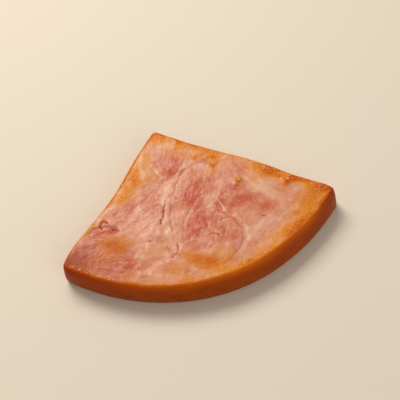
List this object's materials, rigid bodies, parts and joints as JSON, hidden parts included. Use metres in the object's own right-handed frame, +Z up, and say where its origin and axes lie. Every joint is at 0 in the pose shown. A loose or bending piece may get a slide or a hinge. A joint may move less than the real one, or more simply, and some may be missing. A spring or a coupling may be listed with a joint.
{
  "type": "grilled ham steak",
  "caption": "Flat quarter wedge of a thick grilled ham slice, with two cut edges, a curved smoked rind, seams between the muscles and a torn pocket.",
  "frame": {"origin": "bottom centre of the wedge's bounding box, on the surface that it lies on", "axes": "+Z up through the grilled face, +Y towards the point of the wedge, +X to the right when the rind is nearest"},
  "size_m": [0.1342, 0.093, 0.014],
  "materials": {
    "ham": "moist pink cooked meat with golden grilled edges and a glossy brown smoked rind"
  },
  "bodies": {
    "root": {"ham_steak": "ham"}
  },
  "joints": []
}
